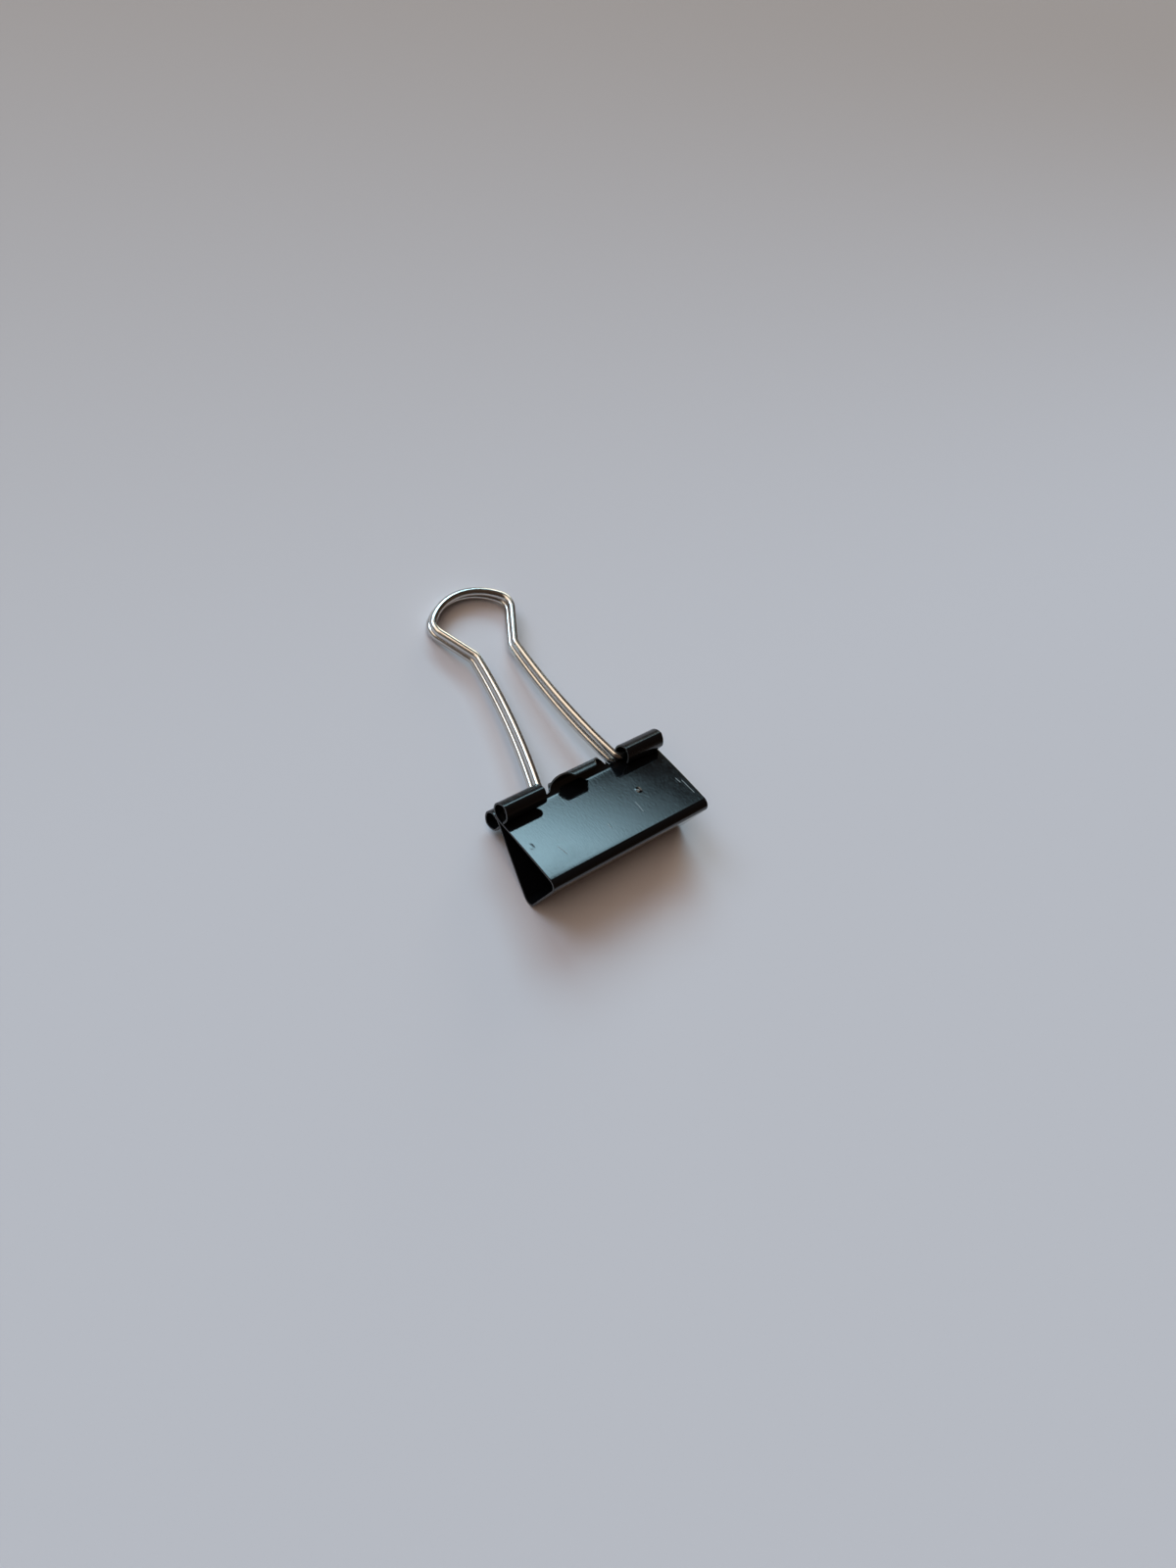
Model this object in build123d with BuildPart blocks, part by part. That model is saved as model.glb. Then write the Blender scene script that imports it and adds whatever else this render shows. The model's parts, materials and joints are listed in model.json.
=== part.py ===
# Foldback clip: a spring steel strip folded into a triangle, and two wire handles hinged in its curled jaws.
# Millimetres. X runs along the jaws, Y from the spine to the handles, Z up. The clip lies on Z = 0.
from build123d import *
import math
import os

os.makedirs("parts", exist_ok=True)

# Spring strip
clip_width = 32.0     # length of the jaws
sheet = 0.3           # thickness of the strip
spine_height = 9.6    # over the two bends
spine_bend = 1.35     # outside radius of each bend
jaw_depth = 13.4      # back of the spine to the root of the curls
jaw_gap = 0.1         # between the closed jaws
root_bend = 1.0       # outside radius where a panel turns into its curls
notch_reach = 0.45    # root of the curls to the bottom of the notches that part them
tube_reach = 0.8      # root of the curls to the centre of the tubes
tube_length = 7.6     # each of the two curls that hold a handle
tube_bore = 1.4       # inside radius of those curls
tube_seam = 0.12      # between their free edge and the panel
tab_corner = 1.5      # corner radius at that free edge
lip_reach = 0.5       # root of the curls to the centre of the lip, the curl between them
lip_bore = 1.35       # its inside radius
lip_base = 11.6       # width of the lip where the jaws meet
lip_crest = 3.4       # width of the lip at its top
lip_corner = 0.5      # corner radius at the top of the lip
lip_curl = 178.0      # degrees that the lip is rolled

# Wire handles, with bend radii on the wire's centre line
wire = 1.3            # diameter
pin_play = 0.05       # between a pin and the wall of its curl
pin_length = 6.0      # length of a pin inside its curl
foot_inset = 0.4      # how far inside the curl's mouth the foot bend starts
foot_bend = 1.15      # bend from pin to leg
leg_splay = 16.5      # degrees that a leg leans inwards at its foot
waist_width = 7.7     # across the legs where the waist bend starts
waist_reach = 24.3    # pins to the start of the waist bend
waist_bend = 2.0
flare = 29.5          # degrees that the wire leans outwards above the waist
shoulder_bend = 2.2
head_radius = 10.0
handle_reach = 36.0   # pins to the top of the head
handle_gap = 0.05     # between the stacked heads

# Section of the upper half of the strip, from the back of the spine and from the plane where the jaws meet
flank_z = jaw_gap / 2 + sheet
bend_z = spine_height / 2 - spine_bend
tube_y = jaw_depth + tube_reach
tube_z = flank_z + tube_bore
run_y = jaw_depth - spine_bend
run_z = bend_z - flank_z
panel_slope = math.degrees(math.atan2(run_z, run_y) + math.asin(spine_bend / math.hypot(run_y, run_z)))
root_setback = root_bend * math.tan(math.radians(panel_slope / 2))
near_wall = tube_y - tube_bore - sheet
seam_z = flank_z + max(jaw_depth - near_wall, 0) * math.tan(math.radians(panel_slope))
corner_z = seam_z + tube_seam / 2
tube_curl = 270       # degrees, so that a tube's free edge comes straight down on the panel
tail_length = tube_z - seam_z - tube_seam
lip_outline_z = flank_z + 2 * (lip_bore + sheet)
mouth_x = clip_width / 2 - tube_length

# Handle angles at rest: the lower head lies on the table, and the upper head lies on the lower one
mid_z = spine_height / 2
pin_z = flank_z + pin_play + wire / 2
lower_drop = mid_z - pin_z - wire / 2
upper_drop = mid_z + pin_z - wire / 2 - wire - handle_gap
lower_angle = -math.asin(lower_drop / handle_reach)
upper_angle = -math.asin(upper_drop / handle_reach)

# Places in the clip's own frame, whose origin is under the middle of its outline
overall_length = tube_y + handle_reach * math.cos(lower_angle) + wire / 2
spine_y = -overall_length / 2
pin_y = spine_y + tube_y
section_plane = Plane(origin=(0, spine_y, mid_z), x_dir=(0, 1, 0), z_dir=(1, 0, 0))
notch_plane = Plane(origin=(0, spine_y + jaw_depth + notch_reach, mid_z), x_dir=(1, 0, 0), z_dir=(0, -1, 0))
wall_plane = Plane(origin=(0, spine_y + near_wall - tube_seam / 2, mid_z), x_dir=(1, 0, 0), z_dir=(0, -1, 0))
middle_plane = Plane(origin=(0, 0, mid_z))


def strip_face(depth, reach, bore, curl_angle, tail):
    """Draw one face of the strip, at a depth from its outer face, and return its two ends."""
    slope = math.radians(panel_slope)
    root_centre = Vector(jaw_depth + root_setback, flank_z + root_bend)
    panel_end = root_centre - Vector(math.sin(slope), math.cos(slope)) * (root_bend + depth)
    bend_turn = -90 - panel_slope
    spine = Line((depth, 0), (depth, bend_z))
    bend = JernArc(start=spine @ 1, tangent=spine % 1, radius=spine_bend - depth, arc_size=bend_turn)
    panel = Line(bend @ 1, panel_end)
    root = JernArc(start=panel @ 1, tangent=panel % 1, radius=root_bend + depth, arc_size=panel_slope)
    flank = Line(root @ 1, (jaw_depth + reach, flank_z - depth))
    curl = JernArc(start=flank @ 1, tangent=flank % 1, radius=bore + depth, arc_size=curl_angle)
    free_end = curl @ 1
    if tail > 0:
        free_end = Line(curl @ 1, curl @ 1 + (curl % 1) * tail) @ 1
    return spine @ 0, free_end


def strip_section(x, reach, bore, curl_angle, tail=0):
    """Cut across the strip at x: half the spine, the bend, the panel and its curl."""
    with BuildSketch(section_plane.offset(x)) as section:
        with BuildLine():
            outer_start, outer_end = strip_face(0, reach, bore, curl_angle, tail)
            inner_start, inner_end = strip_face(sheet, reach, bore, curl_angle, tail)
            Line(outer_start, inner_start)
            Line(outer_end, inner_end)
        make_face()
    return section.sketch


def shoulder_fit(flare_foot):
    """Find the flare's length and half the head's angle, where the shoulder arc touches both."""
    lean = math.radians(flare)
    along = Vector(math.sin(lean), math.cos(lean))
    inwards = Vector(-math.cos(lean), math.sin(lean))
    head_centre = Vector(0, handle_reach - head_radius)
    foot_centre = flare_foot + inwards * shoulder_bend - head_centre
    back = foot_centre.dot(along)
    centre_distance = head_radius - shoulder_bend
    flare_length = math.sqrt(back**2 - foot_centre.dot(foot_centre) + centre_distance**2) - back
    shoulder_centre = foot_centre + along * flare_length
    return flare_length, math.degrees(math.atan2(shoulder_centre.X, shoulder_centre.Y))


def handle_path(plane):
    """Draw a handle's centre line on a plane through its pins, from pin to pin round the head."""
    lean = math.radians(leg_splay)
    foot_x = mouth_x + foot_inset
    leg_foot = Vector(foot_x - foot_bend * math.cos(lean), foot_bend * (1 - math.sin(lean)))
    chord = Vector(waist_width / 2, waist_reach) - leg_foot
    half_turn = lean - math.atan2(-chord.X, chord.Y)
    leg_radius = chord.length / (2 * math.sin(half_turn))
    leg_turn = math.degrees(2 * half_turn)
    waist_turn = leg_splay - leg_turn + flare
    with BuildLine(plane) as path:
        pin = Line((foot_x + pin_length, 0), (foot_x, 0))
        foot = JernArc(start=pin @ 1, tangent=pin % 1, radius=foot_bend, arc_size=leg_splay - 90)
        leg = JernArc(start=foot @ 1, tangent=foot % 1, radius=leg_radius, arc_size=-leg_turn)
        waist = JernArc(start=leg @ 1, tangent=leg % 1, radius=waist_bend, arc_size=-waist_turn)
        flare_length, head_half = shoulder_fit(plane.to_local_coords(waist @ 1))
        shoulder_turn = 90 + flare - head_half
        side = Line(waist @ 1, waist @ 1 + (waist % 1) * flare_length)
        shoulder = JernArc(start=side @ 1, tangent=side % 1, radius=shoulder_bend, arc_size=shoulder_turn)
        JernArc(start=shoulder @ 1, tangent=shoulder % 1, radius=head_radius, arc_size=head_half)
        mirror(about=Plane.YZ)
    return path.wire()


# Upper half of the spring: the strip's middle with the lip, then its two ends with their tubes
with BuildPart() as spring_upper_half:
    extrude(strip_section(0, lip_reach, lip_bore, lip_curl), amount=mouth_x, both=True)
    with BuildSketch(notch_plane):
        Rectangle(2 * mouth_x, 2 * spine_height)
        with BuildLine():
            FilletPolyline(
                (lip_base / 2, 0),
                (lip_crest / 2, lip_outline_z),
                (-lip_crest / 2, lip_outline_z),
                (-lip_base / 2, 0),
                radius=[0, lip_corner, lip_corner, 0],
                close=True,
            )
        make_face(mode=Mode.SUBTRACT)
    extrude(amount=-tube_y, mode=Mode.SUBTRACT)
    tube_section = strip_section(mouth_x, tube_reach, tube_bore, tube_curl, tail_length)
    right_end = extrude(tube_section, amount=tube_length)
    mirror(right_end, about=Plane.YZ)
    with BuildSketch(wall_plane):
        for side in (-1, 1):
            with Locations((side * (mouth_x + tab_corner / 2), corner_z + tab_corner / 2)):
                Rectangle(tab_corner, tab_corner)
            with Locations((side * (mouth_x + tab_corner), corner_z + tab_corner)):
                Circle(tab_corner, mode=Mode.SUBTRACT)
    extrude(amount=near_wall - tube_y, mode=Mode.SUBTRACT)
spring_upper_half.part.label = "spring_upper_half"
export_step(spring_upper_half.part, "parts/spring_upper_half.step")

# Lower half: the same strip the other way up, meeting the upper half at the middle of the spine
with BuildPart() as spring_lower_half:
    mirror(spring_upper_half.part, about=middle_plane)
spring_lower_half.part.label = "spring_lower_half"
export_step(spring_lower_half.part, "parts/spring_lower_half.step")

# Handles: one length of wire each
for name, pivot_z, angle in (
    ("upper_handle", mid_z + pin_z, upper_angle),
    ("lower_handle", mid_z - pin_z, lower_angle),
):
    across = (0, -math.sin(angle), math.cos(angle))
    centre_line = handle_path(Plane(origin=(0, pin_y, pivot_z), x_dir=(1, 0, 0), z_dir=across))
    with BuildPart() as handle:
        with BuildSketch(Plane(origin=centre_line @ 0, z_dir=centre_line % 0)):
            Circle(wire / 2)
        sweep(path=centre_line)
    handle.part.label = name
    export_step(handle.part, f"parts/{name}.step")
    print(name, "uses", round(centre_line.length, 1), "mm of wire, rests at", round(math.degrees(angle), 2))
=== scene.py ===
# %% [markdown]
# # Foldback clip
# The clip is a black enamelled strip of spring steel, stamped flat, folded into a triangle and curled at its
# jaws, with two bent wire handles that hinge in the curls. Its construction is already packed, so this lesson
# loads that as a fixed frame, rebuilds each piece the way it is made, with rounded edges and a real finish,
# and lights it in a plain studio.

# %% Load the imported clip
import json
import math

import bmesh
import bpy
from mathutils import Matrix, Vector


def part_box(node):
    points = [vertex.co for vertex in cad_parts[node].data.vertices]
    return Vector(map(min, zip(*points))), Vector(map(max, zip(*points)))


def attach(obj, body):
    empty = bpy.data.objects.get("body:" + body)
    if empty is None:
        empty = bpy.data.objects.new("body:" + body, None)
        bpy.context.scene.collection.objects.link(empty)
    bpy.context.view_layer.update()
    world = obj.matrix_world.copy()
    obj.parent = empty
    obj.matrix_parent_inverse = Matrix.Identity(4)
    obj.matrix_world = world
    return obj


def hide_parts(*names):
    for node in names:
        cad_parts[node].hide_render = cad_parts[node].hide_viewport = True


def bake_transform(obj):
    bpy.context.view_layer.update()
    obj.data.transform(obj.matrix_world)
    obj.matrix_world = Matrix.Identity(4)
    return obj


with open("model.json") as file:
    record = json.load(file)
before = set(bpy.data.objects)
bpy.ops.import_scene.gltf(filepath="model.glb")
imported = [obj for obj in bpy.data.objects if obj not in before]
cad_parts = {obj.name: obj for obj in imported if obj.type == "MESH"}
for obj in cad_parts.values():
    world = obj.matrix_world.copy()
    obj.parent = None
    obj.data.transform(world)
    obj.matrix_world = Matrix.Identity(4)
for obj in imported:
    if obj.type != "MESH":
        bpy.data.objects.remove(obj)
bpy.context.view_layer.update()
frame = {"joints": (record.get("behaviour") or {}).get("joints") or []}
MM = 0.001
pivots = {joint["name"]: Vector(joint["pos_m"]) / MM for joint in frame["joints"]}
half_low, half_high = (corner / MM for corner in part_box("spring_upper_half"))

# %% [markdown]
# A node tree is a set of nodes whose inputs are filled with values or linked to other nodes. One helper fills
# inputs by name, another adds a node with its inputs filled, and short forms of it add the nodes that are
# used most. They keep each tree below as short as a list of what it does.

# %% Helpers for node trees
MEASURES = ("DOT_PRODUCT", "DISTANCE")


def fill(tree, node, inputs):
    """Set or link a node's inputs, named or numbered."""
    for name, value in inputs.items():
        if isinstance(value, bpy.types.NodeSocket):
            tree.links.new(value, node.inputs[name])
        else:
            node.inputs[name].default_value = value


def add_node(tree, kind, inputs=None, **options):
    """Add a node, set its options and fill its inputs."""
    node = tree.nodes.new(kind)
    for option, value in options.items():
        setattr(node, option, value)
    fill(tree, node, inputs or {})
    return node


def add_math(tree, operation, *values):
    """Add a Math node and return its result."""
    return add_node(tree, "ShaderNodeMath", dict(enumerate(values)), operation=operation).outputs[0]


def add_vector_math(tree, operation, *values):
    """Add a Vector Math node and return its result, a number for a measure and a vector otherwise."""
    node = add_node(tree, "ShaderNodeVectorMath", dict(enumerate(values)), operation=operation)
    return node.outputs["Value" if operation in MEASURES else "Vector"]


def add_noise(tree, place, scale, detail):
    """Add a noise pattern and return its value."""
    noise = add_node(tree, "ShaderNodeTexNoise", {"Vector": place, "Scale": scale, "Detail": detail})
    return noise.outputs[0]


def add_ramp(tree, value, low, high, start=0.0, end=1.0, shape="LINEAR"):
    """Add a Map Range node, which takes low to start and high to end, and return its result."""
    ends = {"Value": value, "From Min": low, "From Max": high, "To Min": start, "To Max": end}
    return add_node(tree, "ShaderNodeMapRange", ends, interpolation_type=shape).outputs[0]


def new_tree(name, kind, inputs, outputs):
    """Make a node group with named sockets, and return it with its input and output nodes."""
    tree = bpy.data.node_groups.new(name, kind)
    for direction, sockets in (("INPUT", inputs), ("OUTPUT", outputs)):
        for socket, socket_kind in sockets.items():
            tree.interface.new_socket(socket, in_out=direction, socket_type="NodeSocket" + socket_kind)
    return tree, tree.nodes.new("NodeGroupInput"), tree.nodes.new("NodeGroupOutput")


# %% [markdown]
# ## Patterns for the finishes
# The enamel is a glossy black film over rolled strip. The steel's grain shows through it as faint hairlines
# along the strip, and the film itself has a slight orange peel. Both could be painted as a picture, but noise
# stays sharp at any distance. One node group makes them, so that the outer face, the inner face and the cut
# edge share it with their own values. It reads the strip's own flat coordinates, in millimetres across and
# along the strip, so that the grain follows the bends and stays put when the jaws open.

# %% Enamel film
STRIP_MAP = "strip_flat"
GRAIN_PER_MM = (3.4, 1.1, 1.0)  # across, then along the strip
PEEL_PER_MM = 2.6
CLOUDS_PER_MM = 0.22
GRAIN_IN_ROUGHNESS = 0.5
LEAST_UNEVEN, MOST_UNEVEN = 0.5, 0.95

film_tree, film_in, film_out = new_tree(
    "enamel film",
    "ShaderNodeTree",
    {"Flat": "Vector", "Smoothest": "Float", "Roughest": "Float", "Grain": "Float", "Peel": "Float"},
    {"Roughness": "Float", "Height": "Float", "Cloud": "Float"},
)
film_flat = film_in.outputs["Flat"]
grain_place = add_vector_math(film_tree, "MULTIPLY", film_flat, GRAIN_PER_MM)
grain = add_noise(film_tree, grain_place, scale=1.0, detail=3.0)
peel = add_noise(film_tree, film_flat, PEEL_PER_MM, detail=2.0)
cloud = add_noise(film_tree, film_flat, CLOUDS_PER_MM, detail=4.0)
uneven = add_math(film_tree, "ADD", cloud, add_math(film_tree, "MULTIPLY", grain, GRAIN_IN_ROUGHNESS))
smoothest, roughest = film_in.outputs["Smoothest"], film_in.outputs["Roughest"]
film_rough = add_ramp(film_tree, uneven, LEAST_UNEVEN, MOST_UNEVEN, smoothest, roughest)
grain_height = add_math(film_tree, "MULTIPLY", grain, film_in.outputs["Grain"])
peel_height = add_math(film_tree, "MULTIPLY", peel, film_in.outputs["Peel"])
film_height = add_math(film_tree, "ADD", grain_height, peel_height)
fill(film_tree, film_out, {"Roughness": film_rough, "Height": film_height, "Cloud": cloud})
print("enamel film group with", len(film_tree.nodes), "nodes")

# %% [markdown]
# The clip has been used: its upper panel has a few short scratches along the grain and two small blisters.
# They could be cut into the mesh, but they are finer than its faces. So each mark is a stroke: the distance
# from a point of the surface to the line between two ends, turned into a soft mask. The group is placed once
# for each mark.

# %% Strokes for marks
stroke_tree, stroke_in, stroke_out = new_tree(
    "stroke",
    "ShaderNodeTree",
    {"Flat": "Vector", "From": "Vector", "To": "Vector", "Width": "Float"},
    {"Mask": "Float"},
)
stroke_start = stroke_in.outputs["From"]
along_stroke = add_vector_math(stroke_tree, "SUBTRACT", stroke_in.outputs["To"], stroke_start)
from_start = add_vector_math(stroke_tree, "SUBTRACT", stroke_in.outputs["Flat"], stroke_start)
reached = add_vector_math(stroke_tree, "DOT_PRODUCT", from_start, along_stroke)
squared = add_vector_math(stroke_tree, "DOT_PRODUCT", along_stroke, along_stroke)
reached_share = add_ramp(stroke_tree, add_math(stroke_tree, "DIVIDE", reached, squared), 0.0, 1.0)
nearest = add_vector_math(stroke_tree, "MULTIPLY", along_stroke, reached_share)
distance = add_vector_math(stroke_tree, "DISTANCE", from_start, nearest)
stroke_mask = add_ramp(stroke_tree, distance, 0.0, stroke_in.outputs["Width"], 1.0, 0.0, "SMOOTHSTEP")
fill(stroke_tree, stroke_out, {"Mask": stroke_mask})
print("stroke group with", len(stroke_tree.nodes), "nodes")

# %% [markdown]
# ## The strip's section
# Strip and wire are both bent from straight stock, so both follow a line of straight runs and bends. A line
# could be drawn point by point, but runs and bends are what the maker sets, and they keep its length true. A
# bend is walked in short chords: turn half a step, go one chord, turn the other half.

# %% A line of runs and bends
BEND_STEP = 6.0


def run(length, pieces=1):
    """Steps of a straight run."""
    return [(0.0, length / pieces)] * pieces


def bend(radius, degrees, step=BEND_STEP):
    """Steps of a bend, left for positive degrees."""
    pieces = math.ceil(abs(degrees) / step)
    turn = math.radians(degrees) / pieces
    return [(turn / 2, 2 * radius * math.sin(abs(turn) / 2))] * pieces


def walk(start, heading, steps):
    """Points of a flat line from start, heading in radians from the first axis."""
    places = [Vector(start)]
    for turn, chord in steps:
        heading += turn
        places.append(places[-1] + chord * Vector((math.cos(heading), math.sin(heading))))
        heading += turn
    return places


print("a quarter bend takes", len(bend(1.0, 90)), "chords")

# %% [markdown]
# The strip is drawn in section on the middle of its sheet: half the spine, the bend, the panel, the root and
# the flank. Past the notches it has two sections: a tube at each end, whose free edge comes round to the
# panel again, and an open lip between them. What the frame can tell is taken from it. The rest are maker's
# sizes in millimetres.

# %% Sizes of the strip
clip_width = half_high.x - half_low.x
spine_y, mid_z = half_low.y, half_low.z
spine_height = 2 * (half_high.z - mid_z)
curl_centre = pivots["upper_handle_turn"].y - spine_y
sheet = 0.3         # thickness of the strip
spine_bend = 1.35   # outside radius of each bend
jaw_depth = 13.4    # back of the spine to the root of the curls
jaw_gap = 0.1       # between the closed jaws
panel_bow = 4.0     # degrees that a panel curves over its length
root_bend = 2.4     # outside radius where a panel turns into its curls
notch_reach = 0.45  # root of the curls to the bottom of the notches that part them
tube_bore = 1.4     # pin's axis to the inside of a tube's wall beside the panel
tube_seam = 0.12    # between a tube's free edge and the panel
curl_setback = 0.2  # how far before its pin's axis a tube starts to curl
lip_reach = 0.5     # root of the curls to the centre of the lip
lip_bore = 1.35     # inside radius of the lip
lip_curl = 178.0    # degrees that the lip is rolled

flank_z = jaw_gap / 2 + sheet
bend_z = spine_height / 2 - spine_bend
run_y, run_z = jaw_depth - spine_bend, bend_z - flank_z
slope = math.atan2(run_z, run_y) + math.asin(spine_bend / math.hypot(run_y, run_z))
root_setback = root_bend * math.tan(slope / 2)
down_panel = Vector((math.cos(slope), -math.sin(slope)))
bend_centre = Vector((spine_bend, bend_z))
root_centre = Vector((jaw_depth + root_setback, flank_z + root_bend))
panel_length = (root_centre - bend_centre).dot(down_panel)
print("panel", round(panel_length, 2), "mm at", round(math.degrees(slope), 1), "degrees")

# %% From the spine to the notches, and the lip
SPINE_ROWS, PANEL_ROWS = 12, 24
SUPPORT = 0.12  # a narrow row or column beside an edge, which keeps the face next to it flat
slope_degrees = math.degrees(slope)
spine_steps = run(bend_z - SUPPORT, SPINE_ROWS) + run(SUPPORT)
bend_steps = bend(spine_bend - sheet / 2, panel_bow / 2 - 90 - slope_degrees)
panel_steps = bend(panel_length / math.radians(panel_bow), -panel_bow, step=panel_bow / PANEL_ROWS)
root_steps = bend(root_bend + sheet / 2, slope_degrees + panel_bow / 2, step=4)
to_notch = spine_steps + bend_steps + panel_steps + root_steps + run(notch_reach - root_setback, pieces=2)
lip_steps = run(lip_reach - notch_reach, pieces=2) + bend(lip_bore + sheet / 2, lip_curl)
print("rows to the notches", len(to_notch), "and on the lip", len(lip_steps))

# %% [markdown]
# A tube could be one round arc, but on the real clip its front leans back to a tight crest, which shows as a
# thin bright line along the tube. So it is walked in five bends, each given by the directions that its outer
# face has at its start and its end: 0 degrees towards the handles, 90 up and 180 towards the spine. One
# radius is worked out, so that the free edge comes straight down where a round tube's wall would be.

# %% Bends of a tube
TUBE_BENDS = [
    # outer face from and to these directions in degrees, then the radius of the sheet's middle
    (-90, 20, 1.6),
    (20, 60, 2.1),
    (60, 105, 0.6),
    (150, 180, 1.0),
]
BACK_FROM, BACK_TO = 105, 150


def gained(low, high):
    """How far a bend of radius 1 goes towards the handles, between two directions of its outer face."""
    return math.cos(math.radians(high)) - math.cos(math.radians(low))


bent_away = sum(radius * gained(low, high) for low, high, radius in TUBE_BENDS)
back_radius = (curl_setback - tube_bore - sheet / 2 - bent_away) / gained(BACK_FROM, BACK_TO)
tube_bends = sorted(TUBE_BENDS + [(BACK_FROM, BACK_TO, back_radius)])
curl_steps = [step for low, high, radius in tube_bends for step in bend(radius, high - low, step=4)]
curl_end = walk((-curl_setback, -sheet / 2), 0.0, curl_steps)[-1]
print("radius worked out", round(back_radius, 2), "mm, end of the curl", round(curl_end.y, 2), "mm up")

# %% Tail of a tube, and both sections
TAIL_ROWS = 10
near_wall = curl_centre - tube_bore - sheet
tail_length = curl_end.y - (jaw_depth - near_wall) * math.tan(slope) - tube_seam
# the tail's rows crowd towards its free edge, whose corner is round
tail_left = [tail_length * (1 - math.cos(math.pi / 2 * k / TAIL_ROWS)) for k in range(TAIL_ROWS, -1, -1)]
tail_steps = [(0.0, before - after) for before, after in zip(tail_left, tail_left[1:])]
flank_steps = run(curl_centre - curl_setback - jaw_depth - notch_reach, pieces=2)
tube_steps = flank_steps + curl_steps + tail_steps


def lengths_along(line):
    """How far along a line each of its points is."""
    lengths = [0.0]
    for before, after in zip(line, line[1:]):
        lengths.append(lengths[-1] + (after - before).length)
    return lengths


tube_section = walk((sheet / 2, 0), math.pi / 2, to_notch + tube_steps)
lip_section = walk((sheet / 2, 0), math.pi / 2, to_notch + lip_steps)
tube_lengths = lengths_along(tube_section)
lip_lengths = lengths_along(lip_section)
panel_start = tube_lengths[len(spine_steps + bend_steps)]
notch_row = len(to_notch)
print("from the middle of the spine to the free edge", round(tube_lengths[-1], 2), "mm")

# %% [markdown]
# ## The flat blank
# The real strip is stamped flat first: a plain rectangle with a tab for each tube and a lip between the tabs.
# The mesh could be drawn already curled, but a blank has its flat coordinates from the start. It is a grid
# whose rows lie where the sections have their points and whose columns follow the outline, with extra columns
# just inside each edge to keep the panels optically flat. Its flat coordinates are kept as a UV map, and an
# attribute marks the lip.

# %% Outline of the blank
tube_length = 7.6   # length of each tube
tab_corner = 1.5    # corner radius at a tube's free edge
lip_base = 11.6     # width of the lip where the jaws meet
lip_crest = 3.4     # width of the lip at its top
lip_corner = 0.4    # corner radius at the top of the lip
notch_corner = 0.7  # corner radius at the root of the lip
mouth_x = clip_width / 2 - tube_length
lip_outline = flank_z + 2 * (lip_bore + sheet)
TAB_PIECES, LIP_PIECES = 5, 5


def corner_cut(radius, left):
    """How far a rounded corner stands back where so much length is left to the end."""
    return radius - math.sqrt(radius**2 - (radius - left) ** 2) if left < radius else 0.0


def spread(low, high, pieces):
    """Columns from low to high, with a narrow one inside each edge."""
    width = (high - low - 2 * SUPPORT) / pieces
    return [low] + [low + SUPPORT + width * k for k in range(pieces + 1)] + [high]


def tab_places(length):
    """Places across the right tab at a length along the strip."""
    stand_back = corner_cut(tab_corner, tube_lengths[-1] - length)
    return spread(mouth_x + stand_back, clip_width / 2, TAB_PIECES)


def lip_places(row):
    """Places across the lip at a row. It narrows with height, and its corners are round, at its root too."""
    slant = (lip_base - lip_crest) / 2 * lip_section[row].y / lip_outline
    root = corner_cut(notch_corner, lip_lengths[row] - lip_lengths[notch_row])
    half = lip_base / 2 + root - slant - corner_cut(lip_corner, lip_lengths[-1] - lip_lengths[row])
    return spread(-half, half, LIP_PIECES)


print("tubes from", round(mouth_x, 2), "mm to", round(clip_width / 2, 2), "mm on each side")

# %% Stamp the blank
LIP_MARK = "on_lip"


def weave(shape, rows):
    """Fill a grid of rows with faces."""
    for row, after in zip(rows, rows[1:]):
        for k in range(len(row) - 1):
            shape.faces.new((row[k], row[k + 1], after[k + 1], after[k]))


def stamp_blank(name):
    """Make the flat blank: the sheet to the notches, then a tab at each end and the lip between."""
    shape = bmesh.new()
    flat = shape.loops.layers.uv.new(STRIP_MAP)
    mark = shape.verts.layers.float.new(LIP_MARK)

    def lay(length, places, on_lip=0.0):
        """Lay a row of points across the blank."""
        row = [shape.verts.new((x * MM, length * MM, 0)) for x in places]
        for vertex in row:
            vertex[mark] = on_lip
        return row

    tab = tab_places(0)
    across = [-x for x in reversed(tab)] + lip_places(notch_row) + tab
    rows = [lay(length, across) for length in tube_lengths[: notch_row + 1]]
    notch_edge = rows[-1]
    left_tab = [notch_edge[: len(tab)]]
    lip = [notch_edge[len(tab) : -len(tab)]]
    right_tab = [notch_edge[-len(tab) :]]
    for length in tube_lengths[notch_row + 1 :]:
        tab = tab_places(length)
        left_tab.append(lay(length, [-x for x in reversed(tab)]))
        right_tab.append(lay(length, tab))
    for row in range(notch_row + 1, len(lip_section)):
        lip.append(lay(lip_lengths[row], lip_places(row), 1.0))
    for grid in (rows, left_tab, lip, right_tab):
        weave(shape, grid)
    for face in shape.faces:
        for loop in face.loops:
            loop[flat].uv = loop.vert.co.xy / MM
    mesh = bpy.data.meshes.new(name)
    shape.to_mesh(mesh)
    shape.free()
    print(name, "has", len(mesh.vertices), "points and", len(mesh.polygons), "faces")
    return mesh


# %% [markdown]
# ## Rolling the blank
# A press folds and curls the blank. Geometry Nodes do the same here: each point of the blank is moved to the
# place on its section line that lies at its own length along the strip. The lip has a section of its own.

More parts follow.
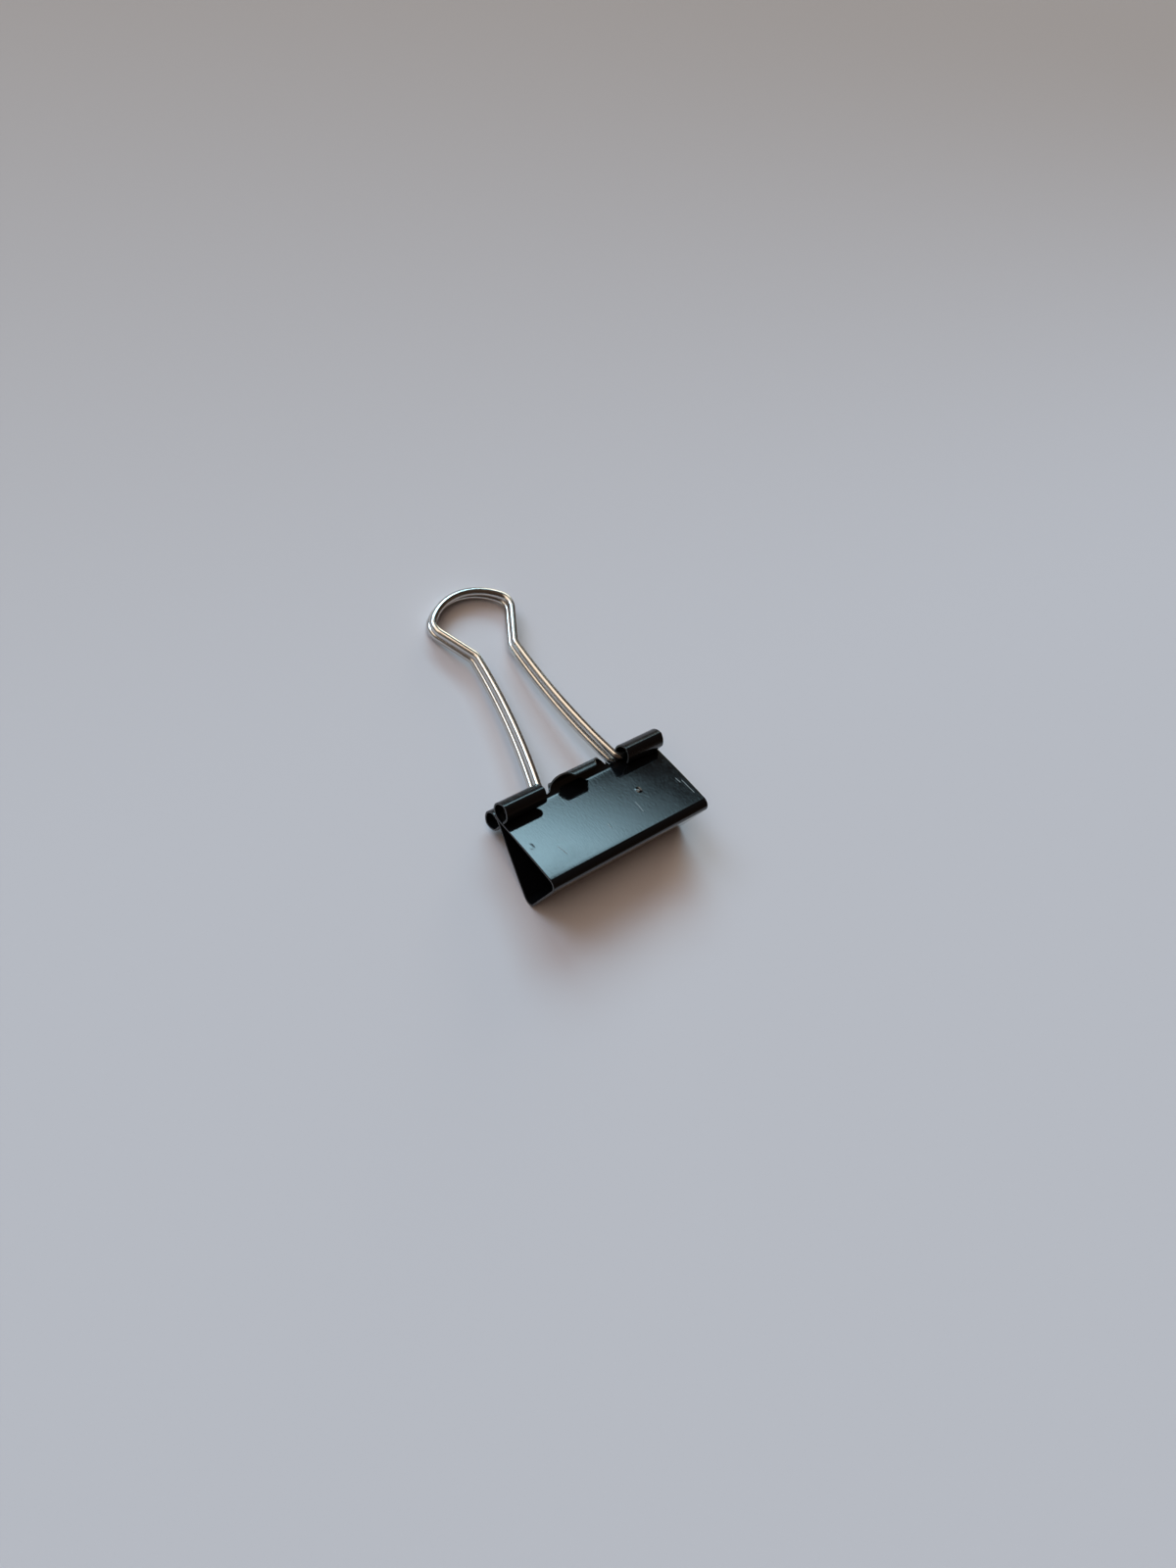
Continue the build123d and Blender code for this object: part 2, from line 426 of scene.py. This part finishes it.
# %% Roll the blank along its sections
roll_tree, roll_in, roll_out = new_tree(
    "roll strip",
    "GeometryNodeTree",
    {"Blank": "Geometry", "Tube section": "Object", "Lip section": "Object", "Finish": "Material"},
    {"Strip": "Geometry"},
)
blank_point = add_node(roll_tree, "GeometryNodeInputPosition").outputs[0]
flat_place = add_node(roll_tree, "ShaderNodeSeparateXYZ", {0: blank_point})
on_lines = []
for section_name in ("Tube section", "Lip section"):
    line = add_node(roll_tree, "GeometryNodeObjectInfo", {"Object": roll_in.outputs[section_name]})
    on_line = add_node(
        roll_tree,
        "GeometryNodeSampleCurve",
        {"Curves": line.outputs["Geometry"], "Length": flat_place.outputs["Y"]},
        mode="LENGTH",
        use_all_curves=True,
    )
    on_lines.append(on_line.outputs["Position"])
on_lip = add_node(roll_tree, "GeometryNodeInputNamedAttribute", {"Name": LIP_MARK}, data_type="FLOAT")
line_point = add_node(
    roll_tree,
    "ShaderNodeMix",
    {"Factor": on_lip.outputs["Attribute"], "A": on_lines[0], "B": on_lines[1]},
    data_type="VECTOR",
)
line_place = add_node(roll_tree, "ShaderNodeSeparateXYZ", {0: line_point.outputs["Result"]})
rolled_place = add_node(
    roll_tree,
    "ShaderNodeCombineXYZ",
    {"X": flat_place.outputs["X"], "Y": line_place.outputs["Y"], "Z": line_place.outputs["Z"]},
)
rolled = add_node(
    roll_tree,
    "GeometryNodeSetPosition",
    {"Geometry": roll_in.outputs["Blank"], "Position": rolled_place.outputs[0]},
)


def finish_tree(tree, geometry, finish, out):
    """End a tree: make instances real, give them their finish and put them out."""
    real = add_node(tree, "GeometryNodeRealizeInstances", {"Geometry": geometry})
    dressed = add_node(tree, "GeometryNodeSetMaterial", {"Geometry": real.outputs[0], "Material": finish})
    fill(tree, out, {0: dressed.outputs[0]})


finish_tree(roll_tree, rolled.outputs[0], roll_in.outputs["Finish"], roll_out)
print("roll tree with", len(roll_tree.nodes), "nodes")

# %% [markdown]
# A tree works on an object through a modifier. The modifier keeps each input under its socket's identifier,
# so a helper finds that by the input's name. When the modifier's work is done, the result is made a plain
# mesh, because that is what the frame takes.


# %% Helpers for objects and modifiers
def show(name, data):
    """Put new data in the scene as an object at the origin."""
    piece = bpy.data.objects.new(name, data)
    bpy.context.scene.collection.objects.link(piece)
    return piece


def draw_line(name, places):
    """Make a curve of straight pieces through places in millimetres."""
    curve = bpy.data.curves.new(name, "CURVE")
    curve.dimensions = "3D"
    spline = curve.splines.new("POLY")
    spline.points.add(len(places) - 1)
    for point, place in zip(spline.points, places):
        point.co = (place.x * MM, place.y * MM, place.z * MM, 1)
    return show(name, curve)


def set_input(modifier, name, value):
    """Set a named input of a Geometry Nodes modifier by its socket's identifier."""
    for socket in modifier.node_group.interface.items_tree:
        if socket.item_type == "SOCKET" and socket.in_out == "INPUT" and socket.name == name:
            modifier[socket.identifier] = value


def evaluated_mesh(piece):
    """A plain mesh of a piece's evaluated shape."""
    graph = bpy.context.evaluated_depsgraph_get()
    return bpy.data.meshes.new_from_object(piece.evaluated_get(graph), depsgraph=graph)


def settle(piece):
    """Make the piece's evaluated shape its plain mesh, with no modifier left."""
    made = evaluated_mesh(piece)
    piece.modifiers.clear()
    piece.data = made
    piece.data.name = piece.name
    return piece


# %% [markdown]
# ## Enamel, inside enamel and cut edge
# The outer face has the fullest finish: film, scratches and blisters. The inner face has the film alone,
# rougher. The sheared edge of the sheet is only thinly coated, so it shows greyer and duller than the faces.
# One material with masks could hold all three, but three are easier to read, and the sheet's own faces tell
# them apart.

# %% A glossy black enamel
ENAMEL_IOR = 1.52


def new_finish(name):
    """Make a material, and return it with its node tree and its shader."""
    finish = bpy.data.materials.new(name)
    finish.use_nodes = True
    return finish, finish.node_tree, finish.node_tree.nodes["Principled BSDF"]


def mix_colours(tree, share, first, second):
    """Add a colour Mix node and return its result."""
    colours = {"Factor": share, "A": first, "B": second}
    return add_node(tree, "ShaderNodeMix", colours, data_type="RGBA").outputs["Result"]


def add_bump(tree, height, depth, normal=None):
    """Add a Bump node of a depth in millimetres, over another normal if given, and return its normal."""
    relief = {"Strength": 1.0, "Distance": depth * MM, "Height": height}
    if normal is not None:
        relief["Normal"] = normal
    return add_node(tree, "ShaderNodeBump", relief).outputs[0]


def enamel(name, smoothest, roughest, grain_share, peel_share):
    """Make an enamel, and return it with its tree, its shader, its flat coordinates and its film."""
    finish, tree, shader = new_finish(name)
    flat = add_node(tree, "ShaderNodeUVMap", uv_map=STRIP_MAP).outputs[0]
    film = add_node(tree, "ShaderNodeGroup", {"Flat": flat}, node_tree=film_tree)
    fill(tree, film, {"Smoothest": smoothest, "Roughest": roughest, "Grain": grain_share, "Peel": peel_share})
    fill(tree, shader, {"IOR": ENAMEL_IOR})
    return finish, tree, shader, flat, film.outputs


# %% Marks on the upper panel
SCRATCHES = [
    # start and end, each across the clip and along the panel from the bend, then the width, in millimetres
    ((-11.22, 4.15), (-10.85, 2.33), 0.13),
    ((5.10, 4.80), (5.02, 2.81), 0.13),
    ((14.37, 5.27), (14.50, 4.34), 0.14),
    ((15.03, 4.47), (15.15, 1.64), 0.14),
    ((-1.64, 3.60), (-1.74, 2.85), 0.12),
]
BLISTERS = [
    # middle, across the clip and along the panel, then the width in millimetres and times BLISTER_RELIEF
    ((7.17, 6.42), 0.55, 1.4),
    ((-14.8, 6.1), 0.6, 0.15),
]
BLISTER_HALF = 0.15    # half the length of a blister's own line
BLISTER_RELIEF = 0.12  # how high a blister stands


def place_stroke(tree, flat, start, end, width):
    """Place a stroke between two places on the upper panel, and return its mask."""
    start_flat = (start[0], panel_start + start[1], 0.0)
    end_flat = (end[0], panel_start + end[1], 0.0)
    sizes = {"Flat": flat, "From": start_flat, "To": end_flat, "Width": width}
    return add_node(tree, "ShaderNodeGroup", sizes, node_tree=stroke_tree).outputs["Mask"]


def scratch_mask(tree, flat):
    """One mask of all the scratches."""
    mask = 0.0
    for start, end, width in SCRATCHES:
        mask = add_math(tree, "MAXIMUM", place_stroke(tree, flat, start, end, width), mask)
    return mask


def blister_height(tree, flat):
    """The height of the enamel over all the blisters, in times BLISTER_RELIEF."""
    height = 0.0
    for (across, along), width, times in BLISTERS:
        top, foot = (across, along + BLISTER_HALF), (across, along - BLISTER_HALF)
        raised = add_math(tree, "MULTIPLY", place_stroke(tree, flat, top, foot, width), times)
        height = add_math(tree, "MAXIMUM", raised, height)
    return height


# %% Outer enamel
OUTER_BLACK = (0.0025, 0.0027, 0.0032, 1)
SCRATCH_GREY = (0.12, 0.13, 0.135, 1)
SCRATCH_ROUGHNESS = 0.25
OUTER_RELIEF = 0.004

outer_enamel, outer_tree, outer_shader, outer_flat, outer_film = enamel(
    "black_enamel_outer", smoothest=0.03, roughest=0.11, grain_share=1.1, peel_share=0.6
)
scratches = scratch_mask(outer_tree, outer_flat)
scratch_rough = add_math(outer_tree, "MULTIPLY", scratches, SCRATCH_ROUGHNESS)
film_normal = add_bump(outer_tree, outer_film["Height"], OUTER_RELIEF)
blisters = blister_height(outer_tree, outer_flat)
fill(
    outer_tree,
    outer_shader,
    {
        "Base Color": mix_colours(outer_tree, scratches, OUTER_BLACK, SCRATCH_GREY),
        "Roughness": add_math(outer_tree, "ADD", outer_film["Roughness"], scratch_rough),
        "Normal": add_bump(outer_tree, blisters, BLISTER_RELIEF, film_normal),
    },
)
print(outer_enamel.name, "with", len(SCRATCHES), "scratches and", len(BLISTERS), "blisters")

# %% Inner enamel
INNER_BLACK = (0.0025, 0.0026, 0.003, 1)
INNER_RELIEF = 0.006

inner_enamel, inner_tree, inner_shader, _, inner_film = enamel(
    "black_enamel_inner", smoothest=0.16, roughest=0.28, grain_share=0.5, peel_share=0.8
)
fill(
    inner_tree,
    inner_shader,
    {
        "Base Color": INNER_BLACK,
        "Roughness": inner_film["Roughness"],
        "Normal": add_bump(inner_tree, inner_film["Height"], INNER_RELIEF),
    },
)
print(inner_enamel.name, "with", len(inner_tree.nodes), "nodes")

# %% Cut edge
EDGE_COATED = (0.01, 0.01, 0.011, 1)
EDGE_BARE = (0.09, 0.09, 0.092, 1)
EDGE_METALLIC = 0.6
EDGE_RELIEF = 0.01

cut_edge, edge_tree, edge_shader, _, edge_film = enamel(
    "cut_edge", smoothest=0.28, roughest=0.45, grain_share=1.0, peel_share=0.6
)
fill(
    edge_tree,
    edge_shader,
    {
        "Base Color": mix_colours(edge_tree, edge_film["Cloud"], EDGE_COATED, EDGE_BARE),
        "Roughness": edge_film["Roughness"],
        "Metallic": EDGE_METALLIC,
        "Normal": add_bump(edge_tree, edge_film["Height"], EDGE_RELIEF),
    },
)
print(cut_edge.name, "with", len(edge_tree.nodes), "nodes")

# %% [markdown]
# ## The two halves of the spring
# The blank is rolled once. Solidify then gives it the sheet's thickness, with its own material slots for the
# inner face and the rim, and a small bevel breaks every cut edge, as shearing does. The halves meet at the
# middle of the spine, where no edge is broken, so the seam can't be seen. The lower half could be rolled in
# the same way, but turning over a copy of the upper one keeps the two alike. Its faces are turned back out,
# and its flat coordinates run the other way, so that it has no copy of the marks.

# %% Roll, thicken and break the edges
EDGE_BREAK = 0.07         # width of the bevel
SHARP = math.radians(50)  # faces that meet at more than this make a cut edge
ON_SEAM = 1e-7            # metres from the middle of the spine


def rolled_half(name):
    """The upper half of the spring as a plain mesh object."""
    half = show(name, stamp_blank(name))
    roll = half.modifiers.new("roll", "NODES")
    roll.node_group = roll_tree
    lines = []
    for section_name, section in (("Tube section", tube_section), ("Lip section", lip_section)):
        lines.append(draw_line(section_name, [Vector((0, spine_y + p.x, mid_z + p.y)) for p in section]))
        set_input(roll, section_name, lines[-1])
    set_input(roll, "Finish", outer_enamel)
    settle(half)
    for line in lines:
        bpy.data.objects.remove(line)
    for finish in (inner_enamel, cut_edge):
        half.data.materials.append(finish)
    thicken = half.modifiers.new("thicken", "SOLIDIFY")
    thicken.thickness = sheet * MM
    thicken.offset = 0.0
    thicken.use_even_offset = True
    thicken.material_offset = 1
    thicken.material_offset_rim = 2
    return settle(half)


def break_edges(half):
    """Round the cut edges, but not the seam at the middle of the spine."""
    shape = bmesh.new()
    shape.from_mesh(half.data)
    weight = shape.edges.layers.float.new("bevel_weight_edge")
    for edge in shape.edges:
        on_seam = all(abs(vertex.co.z - mid_z * MM) < ON_SEAM for vertex in edge.verts)
        edge.smooth = not on_seam
        edge[weight] = float(edge.calc_face_angle(0.0) > SHARP and not on_seam)
    for face in shape.faces:
        face.smooth = True
    shape.to_mesh(half.data)
    shape.free()
    rounding = half.modifiers.new("break", "BEVEL")
    rounding.limit_method = "WEIGHT"
    rounding.width = EDGE_BREAK * MM
    rounding.segments = 2
    rounding.use_clamp_overlap = True
    return settle(half)


spring_upper = break_edges(rolled_half("spring_upper"))
print(spring_upper.name, "has", len(spring_upper.data.polygons), "faces")

# %% Turn a copy over for the lower half
spring_lower = show("spring_lower", spring_upper.data.copy())
to_middle = Matrix.Translation((0, 0, -mid_z * MM))
upside_down = Matrix.Scale(-1, 4, (0, 0, 1))
spring_lower.data.transform(to_middle.inverted() @ upside_down @ to_middle)
spring_lower.data.flip_normals()
for corner in spring_lower.data.uv_layers[STRIP_MAP].data:
    corner.uv.y = -corner.uv.y
print("spring_lower from", round(min(v.co.z for v in spring_lower.data.vertices) / MM, 3), "mm up")

# %% [markdown]
# When the jaws open, the real strip flexes over its whole spine and both bends, and two stiff halves would
# open a crack along the spine. Here each half simply takes the place of its part in the frame: that part is
# hidden, and the half's placement is made part of its mesh.

# %% Put the halves in place of the frame's parts
for half, node, other_body, own_body, up in (
    (spring_upper, "spring_upper_half", "lower_spring", "upper_spring", 1),
    (spring_lower, "spring_lower_half", "upper_spring", "lower_spring", -1),
):
    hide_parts(node)
    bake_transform(half)
    print(half.name, "replaces", node)

# %% [markdown]
# ## Nickel-plated wire
# The handles are drawn wire with a bright nickel plate: a slightly warm metal with faint draw lines along its
# length. The wire is cropped after plating, so its two ends are bare and dull, and they are also painted dark
# as painted shade, since the pin tips sit inside the tubes. The lines could be laid along a straight axis,
# but they have to follow the bends, so the sweep stores how far along the wire and how far round it each
# point is, as shares from 0 to 1.

# %% Nickel plate
PLATE_BRIGHT = (0.68, 0.675, 0.655, 1)
PLATE_DULL = (0.6, 0.59, 0.565, 1)
TARNISH_PER_M = 180.0
STREAKS_ROUND, STREAKS_ALONG = 4.0, 13.7
STREAK_LOW, STREAK_HIGH = 0.3, 0.7
SMOOTH_PLATE, ROUGH_PLATE = 0.15, 0.28
DRAW_RELIEF = 0.004

nickel, nickel_tree, nickel_shader = new_finish("nickel_wire")
wire_along = add_node(nickel_tree, "ShaderNodeAttribute", attribute_name="wire_along").outputs["Fac"]
wire_round = add_node(nickel_tree, "ShaderNodeAttribute", attribute_name="wire_round").outputs["Fac"]
angle = add_math(nickel_tree, "MULTIPLY", wire_round, math.tau)
draw_place = add_node(
    nickel_tree,
    "ShaderNodeCombineXYZ",
    {
        "X": add_math(nickel_tree, "MULTIPLY", add_math(nickel_tree, "COSINE", angle), STREAKS_ROUND),
        "Y": add_math(nickel_tree, "MULTIPLY", add_math(nickel_tree, "SINE", angle), STREAKS_ROUND),
        "Z": add_math(nickel_tree, "MULTIPLY", wire_along, STREAKS_ALONG),
    },
)
streaks = add_noise(nickel_tree, draw_place.outputs[0], scale=1.0, detail=3.0)
object_place = add_node(nickel_tree, "ShaderNodeTexCoord").outputs["Object"]
tarnish = add_noise(nickel_tree, object_place, TARNISH_PER_M, detail=3.0)
plate = mix_colours(nickel_tree, tarnish, PLATE_BRIGHT, PLATE_DULL)
polish = add_ramp(nickel_tree, streaks, STREAK_LOW, STREAK_HIGH, SMOOTH_PLATE, ROUGH_PLATE)
print(nickel.name, "pattern with", len(nickel_tree.nodes), "nodes")

# %% Bare cropped ends, darkened as painted shade
# painted shade: the bare ends are made far darker than cut steel, standing in for the shade inside the tubes'
# bores
SHADED_BARE_STEEL = (0.06, 0.057, 0.055, 1)
CROPPED_ROUGHNESS = 0.3
PLATED_TO, BARE_FROM = 0.4988, 0.4998  # from the middle of the wire, as shares of its length

from_middle = add_math(nickel_tree, "ABSOLUTE", add_math(nickel_tree, "SUBTRACT", wire_along, 0.5))
bare_and_shaded_ends = add_ramp(nickel_tree, from_middle, PLATED_TO, BARE_FROM)
cropped_rough = add_math(nickel_tree, "MULTIPLY", bare_and_shaded_ends, CROPPED_ROUGHNESS)
fill(
    nickel_tree,
    nickel_shader,
    {
        "Base Color": mix_colours(nickel_tree, bare_and_shaded_ends, plate, SHADED_BARE_STEEL),
        "Roughness": add_math(nickel_tree, "ADD", polish, cropped_rough),
        "Metallic": 1.0,
        "Normal": add_bump(nickel_tree, streaks, DRAW_RELIEF),
    },
)
print(nickel.name, "with", len(nickel_tree.nodes), "nodes")

# %% [markdown]
# ## Bending the handles
# A wire former makes a handle from one straight length: pin, foot, leg, waist, flare, shoulder and head, then
# the same back again. The centre line is walked in that order. A curve with a bevel could carry the wire's
# round section, but Geometry Nodes also store where each point lies on the wire, which the draw lines need.
# The last tenth of a millimetre of each pin is drawn in, as a cropped end is.

# %% Sizes of a handle
wire = 1.3            # diameter
pin_length = 6.0      # length of a pin inside its tube
foot_inset = 0.4      # how far inside the tube's mouth the foot bend starts
foot_bend = 1.15      # bend from pin to leg, a radius of the wire's centre line, as are the next three
waist_bend = 2.0
shoulder_bend = 2.2
head_radius = 10.0
leg_splay = 16.5      # degrees that a leg leans inwards at its foot
flare = 29.5          # degrees that the wire leans outwards above the waist
waist_width = 7.7     # across the legs where the waist bend starts
waist_reach = 24.3    # pins to the start of the waist bend
handle_reach = 36.0   # pins to the top of the head
handle_gap = 0.05     # between the stacked heads
PIN_TIP = 0.12        # length of a pin that is drawn in
PIN_TIP_SHARE = 0.82  # its share of the wire's radius at the end
foot_x = mouth_x + foot_inset
pin_tip = (foot_x + pin_length, 0)
print("pins from", round(foot_x, 2), "mm to", round(pin_tip[0], 2), "mm on each side")


# %% Centre line of a handle
def leg_and_waist():
    """Steps from a pin's tip to the end of the waist bend."""
    lean = math.radians(leg_splay)
    leg_foot = Vector((foot_x - foot_bend * math.cos(lean), foot_bend * (1 - math.sin(lean))))
    chord = Vector((waist_width / 2, waist_reach)) - leg_foot
    half_turn = lean - math.atan2(-chord.x, chord.y)
    leg_turn = 2 * math.degrees(half_turn)
    leg_radius = chord.length / (2 * math.sin(half_turn))
    steps = run(PIN_TIP) + run(pin_length - PIN_TIP, pieces=4)
    steps += bend(foot_bend, leg_splay - 90, step=5)
    steps += bend(leg_radius, -leg_turn, step=1.5)
    return steps + bend(waist_bend, leg_turn - leg_splay - flare, step=4)


def flare_and_head(flare_foot):
    """Steps from the waist to the top of the head. The shoulder touches both the flare and the head."""
    tilt = math.radians(flare)
    along = Vector((math.sin(tilt), math.cos(tilt)))
    inwards = Vector((-math.cos(tilt), math.sin(tilt)))
    to_centre = flare_foot + inwards * shoulder_bend - Vector((0, handle_reach - head_radius))
    back = to_centre.dot(along)
    flare_length = math.sqrt(back**2 - to_centre.length_squared + (head_radius - shoulder_bend) ** 2) - back
    shoulder = to_centre + along * flare_length
    head_half = math.degrees(math.atan2(shoulder.x, shoulder.y))
    steps = run(flare_length, pieces=3) + bend(shoulder_bend, 90 + flare - head_half, step=4)
    return steps + bend(head_radius, head_half, step=3)


leg_steps = leg_and_waist()
head_steps = flare_and_head(walk(pin_tip, math.pi, leg_steps)[-1])
half_handle = walk(pin_tip, math.pi, leg_steps + head_steps)
handle_line = half_handle + [Vector((-p.x, p.y)) for p in reversed(half_handle[:-1])]
print("handle line of", len(handle_line), "points, head at", [round(c, 3) for c in half_handle[-1]])

# %% Sweep the wire
WIRE_SIDES = 28
sweep_tree, sweep_in, sweep_out = new_tree(
    "sweep wire",
    "GeometryNodeTree",
    {"Line": "Geometry", "Radius": "Float", "Sides": "Int", "Tip": "Float", "Finish": "Material"},
    {"Wire": "Geometry"},
)


def store_share(geometry, name):
    """Store on each point of a curve how far along the curve it is."""
    share = add_node(sweep_tree, "GeometryNodeSplineParameter").outputs["Factor"]
    stored = {"Geometry": geometry, "Name": name, "Value": share}
    kind = "GeometryNodeStoreNamedAttribute"
    return add_node(sweep_tree, kind, stored, data_type="FLOAT", domain="POINT").outputs[0]


line_ends = add_node(sweep_tree, "GeometryNodeCurveEndpointSelection").outputs[0]
drawn_in = add_node(
    sweep_tree,
    "GeometryNodeSetCurveRadius",
    {
        "Curve": store_share(sweep_in.outputs["Line"], "wire_along"),
        "Selection": line_ends,
        "Radius": sweep_in.outputs["Tip"],
    },
)
round_section = add_node(
    sweep_tree,
    "GeometryNodeCurvePrimitiveCircle",
    {"Resolution": sweep_in.outputs["Sides"], "Radius": sweep_in.outputs["Radius"]},
)
swept = add_node(
    sweep_tree,
    "GeometryNodeCurveToMesh",
    {
        "Curve": drawn_in.outputs[0],
        "Profile Curve": store_share(round_section.outputs[0], "wire_round"),
        "Scale": add_node(sweep_tree, "GeometryNodeInputRadius").outputs[0],
        "Fill Caps": True,
    },
)
smooth = {"Geometry": swept.outputs[0], "Shade Smooth": True}
smoothed = add_node(sweep_tree, "GeometryNodeSetShadeSmooth", smooth)
finish_tree(sweep_tree, smoothed.outputs[0], sweep_in.outputs["Finish"], sweep_out)
print("sweep tree with", len(sweep_tree.nodes), "nodes")

# %% Hang both handles on their pivots
# the lower head lies on the table, and the upper head lies on the lower one
lower_drop = pivots["lower_handle_turn"].z - wire / 2
upper_drop = pivots["upper_handle_turn"].z - wire / 2 - wire - handle_gap
for name, joint, drop in (
    ("lower_handle", "lower_handle_turn", lower_drop),
    ("upper_handle", "upper_handle_turn", upper_drop),
):
    tilt = -math.asin(drop / handle_reach)
    away = Vector((0, math.cos(tilt), math.sin(tilt)))
    pivot = pivots[joint]
    handle = draw_line(name + "_line", [Vector((p.x, 0, 0)) + away * p.y + pivot for p in handle_line])
    sweep = handle.modifiers.new("sweep", "NODES")
    sweep.node_group = sweep_tree
    set_input(sweep, "Radius", wire / 2 * MM)
    set_input(sweep, "Sides", WIRE_SIDES)
    set_input(sweep, "Tip", PIN_TIP_SHARE)
    set_input(sweep, "Finish", nickel)
    mesh = evaluated_mesh(handle)
    bpy.data.objects.remove(handle)
    piece = show(name + "_wire", mesh)
    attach(piece, name)
    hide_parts(name)
    print(piece.name, "has", len(mesh.polygons), "faces, tilted", round(math.degrees(tilt), 2), "degrees")

# %% [markdown]
# ## The studio
# The floor is plain, matt and pale, with painted shade that makes it a little darker and warmer towards its
# far end. Two wide, soft, cool windows stand behind the clip, with a dim warm ceiling over its left side, a
# low warm lamp on its right and dim walls. They could be area lights, but the black panel mirrors the edge of
# the right window as a smooth fall from bright to dark, and such an edge is easiest to set as a soft-edged
# patch of the world, placed by direction. The camera itself sees a plain pale backdrop instead of the
# patches.

# %% Floor, with painted shade
# painted shade: the floor's colour runs from NEAR_FLOOR to a darker, warmer colour far away, standing in for
# light that falls off across the floor
NEAR_FLOOR = (0.655, 0.62, 0.66, 1)
FAR_FLOOR_IN_SHADE = (0.46, 0.385, 0.36, 1)
FAR_WAY = (0.14, 0.99, 0)
NEAR_END, FAR_END = -10, 190  # of the change of tone, in millimetres along that way
FLOOR_HALF = 3.0              # metres
FLOOR_ROUGHNESS = 0.9

floor_mesh = bpy.data.meshes.new("floor")
floor_corners = [(x * FLOOR_HALF, y * FLOOR_HALF, 0) for x, y in ((-1, -1), (1, -1), (1, 1), (-1, 1))]
floor_mesh.from_pydata(floor_corners, [], [(0, 1, 2, 3)])
floor = show("floor", floor_mesh)
floor_paint, floor_tree, floor_shader = new_finish("floor_paint")
floor_place = add_node(floor_tree, "ShaderNodeTexCoord").outputs["Object"]
far_away = add_vector_math(floor_tree, "DOT_PRODUCT", floor_place, FAR_WAY)
far_shade_share = add_ramp(floor_tree, far_away, NEAR_END * MM, FAR_END * MM, shape="SMOOTHSTEP")
floor_tone_with_shade = mix_colours(floor_tree, far_shade_share, NEAR_FLOOR, FAR_FLOOR_IN_SHADE)
matt = {"Base Color": floor_tone_with_shade, "Roughness": FLOOR_ROUGHNESS, "Specular IOR Level": 0.0}
fill(floor_tree, floor_shader, matt)
floor_mesh.materials.append(floor_paint)
print("floor", 2 * FLOOR_HALF, "m wide")

# %% Directions of the world
WINDOW_LEVEL = math.radians(36)
WINDOW_LEAN = 1.26  # how far the right window's edge goes to the right as it rises

world = bpy.data.worlds.new("studio")
world.use_nodes = True
bpy.context.scene.world = world
sky = world.node_tree
direction = add_node(sky, "ShaderNodeTexCoord").outputs["Generated"]
towards = add_node(sky, "ShaderNodeSeparateXYZ", {0: direction}).outputs
azimuth = add_math(sky, "ARCTAN2", towards["X"], towards["Y"])
elevation = add_math(sky, "ARCSINE", towards["Z"])
above_level = add_math(sky, "SUBTRACT", elevation, WINDOW_LEVEL)
leaning = add_math(sky, "SUBTRACT", azimuth, add_math(sky, "MULTIPLY", above_level, WINDOW_LEAN))


def patch(edges):
    """A mask that fades in from 0 at one angle to 1 at another, in degrees, over each of its edges."""
    mask = 1.0
    for across, dark, bright in edges:
        edge = add_ramp(sky, across, math.radians(dark), math.radians(bright), shape="SMOOTHSTEP")
        mask = add_math(sky, "MULTIPLY", edge, mask)
    return mask


print("directions of the world from", len(sky.nodes), "nodes")

# %% Windows, ceiling, lamp and walls
ROOM_LIGHT = (0.05, 0.03, 0.02, 1)
BACKDROP = (0.42, 0.41, 0.41, 1)
ALL_ROUND = [(elevation, 18, 10)]
LEFT_WALL = [(azimuth, -125, -105), (azimuth, -35, -50), (elevation, 46, 30)]
CEILING = [(azimuth, -105, -85), (azimuth, 30, 0), (elevation, 30, 46)]
LAMP = [(azimuth, 41, 48), (azimuth, 66, 58), (elevation, 0, 6), (elevation, 30, 22)]
LEFT_WINDOW = [(azimuth, -50, -36), (azimuth, -10, -20), (elevation, 22, 30), (elevation, 54, 44)]
RIGHT_WINDOW = [(leaning, 50, 35.5), (azimuth, -8, 2), (elevation, 19, 26), (elevation, 45, 38)]
LIGHTS = [
    # each covers those before it
    ("walls", (0.1, 0.075, 0.06, 1), ALL_ROUND),
    ("left wall", (0.22, 0.2, 0.18, 1), LEFT_WALL),
    ("ceiling", (1.75, 1.4, 1.08, 1), CEILING),
    ("lamp", (4.0, 3.8, 3.05, 1), LAMP),
    ("left window", (4.9, 6.5, 8.1, 1), LEFT_WINDOW),
    ("right window", (5.4, 8.6, 10.1, 1), RIGHT_WINDOW),
]
light = ROOM_LIGHT
for name, colour, edges in LIGHTS:
    light = mix_colours(sky, patch(edges), light, colour)
    print(name, "of", colour[:3])
seen = add_node(sky, "ShaderNodeLightPath").outputs["Is Camera Ray"]
fill(sky, sky.nodes["Background"], {"Color": mix_colours(sky, seen, light, BACKDROP)})

# %% [markdown]
# ## The camera
# The camera stands where the photograph was taken, above the left end of the spine, with a wide lens. Its
# place and its two directions were fitted to points of the clip, so they are given as they are.

# %% Camera
camera_place = Vector((-100.2, -33.0, 157.8))
camera_right = Vector((0.75093, -0.49987, 0.43155)).normalized()
camera_up = Vector((0.367, 0.85916, 0.35657)).normalized()
camera_data = bpy.data.cameras.new("camera")
camera_data.lens = 27.01
camera_data.sensor_width = 36.0
camera_data.clip_start = 5 * MM
camera = show("camera", camera_data)
turn = Matrix((camera_right, camera_up, camera_right.cross(camera_up))).transposed()
camera.matrix_world = Matrix.Translation(camera_place * MM) @ turn.to_4x4()
bpy.context.scene.camera = camera
bpy.context.scene.view_settings.view_transform = "Standard"
print("camera", round(camera_place.length), "mm from the origin")
